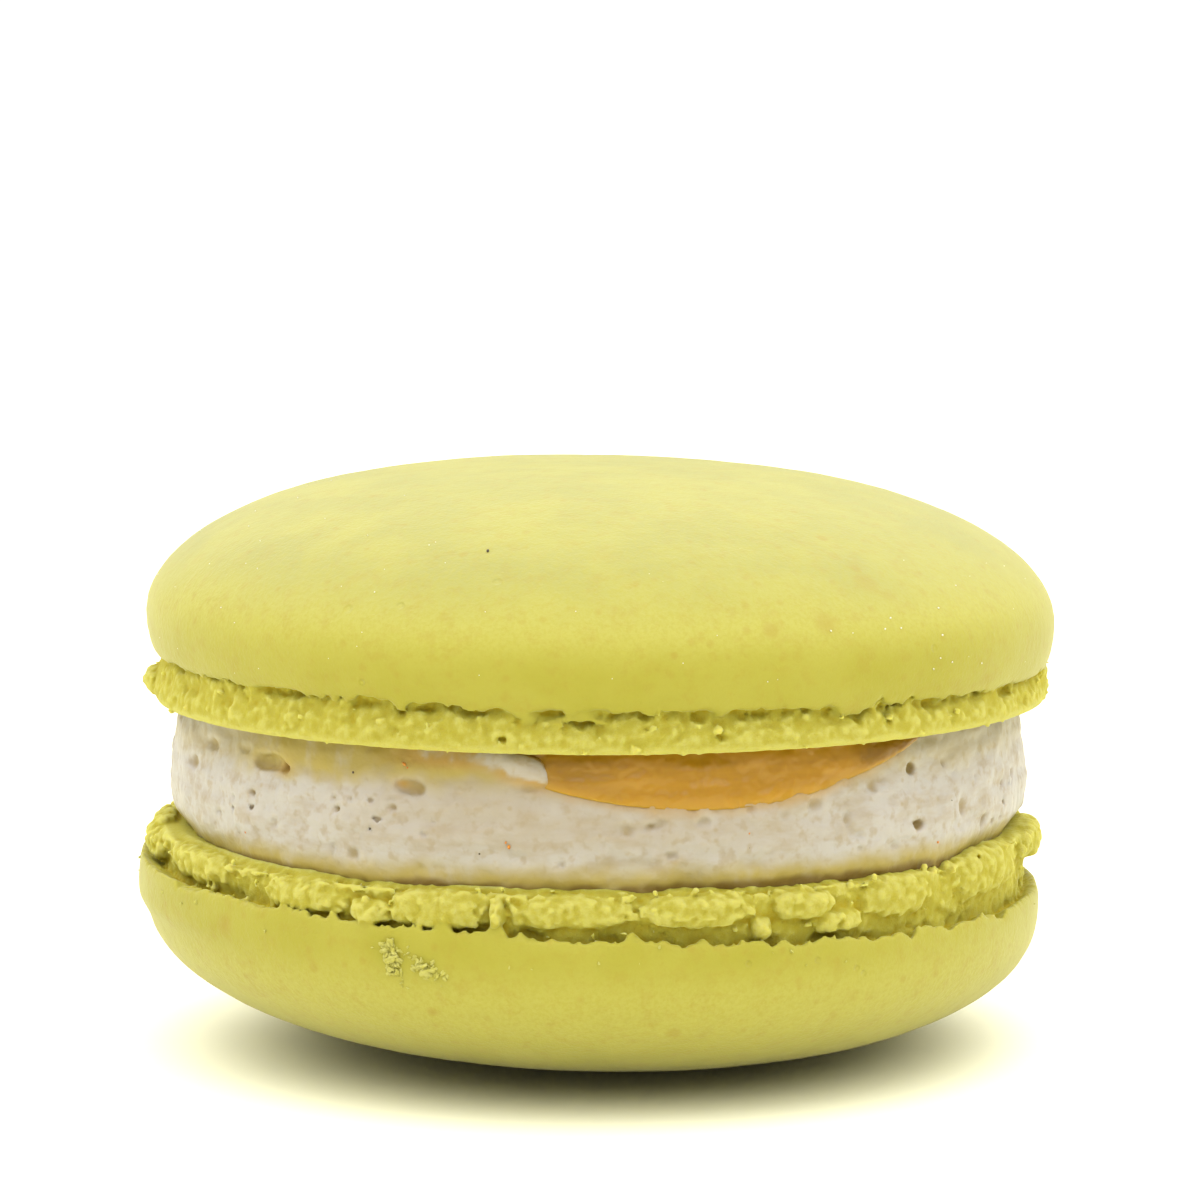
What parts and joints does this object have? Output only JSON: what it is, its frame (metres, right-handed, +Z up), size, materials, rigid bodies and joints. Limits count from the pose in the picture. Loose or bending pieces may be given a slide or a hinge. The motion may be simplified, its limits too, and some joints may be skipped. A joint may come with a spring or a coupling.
{
  "type": "french macaron",
  "caption": "Round sandwich biscuit: two domed, ruffle-footed almond meringue shells holding a layer of whipped buttercream with a pool of fruit curd showing at one side.",
  "frame": {"origin": "middle of the macaron's footprint, on the surface that the lower shell stands on", "axes": "+Z up through the sandwich, -Y towards the side where the curd shows, +X to the right seen from that side"},
  "size_m": [0.0462, 0.046, 0.0295],
  "materials": {
    "almond_shell": "dry, matt baked almond meringue, pale greenish yellow, faintly mottled, crumbly and porous at the foot",
    "buttercream": "soft satin ivory buttercream with small air holes",
    "fruit_curd": "smooth, softly glossy, slightly translucent amber fruit curd"
  },
  "bodies": {
    "root": {"shell_upper": "almond_shell", "shell_lower": "almond_shell", "buttercream": "buttercream", "fruit_curd": "fruit_curd"}
  },
  "joints": []
}
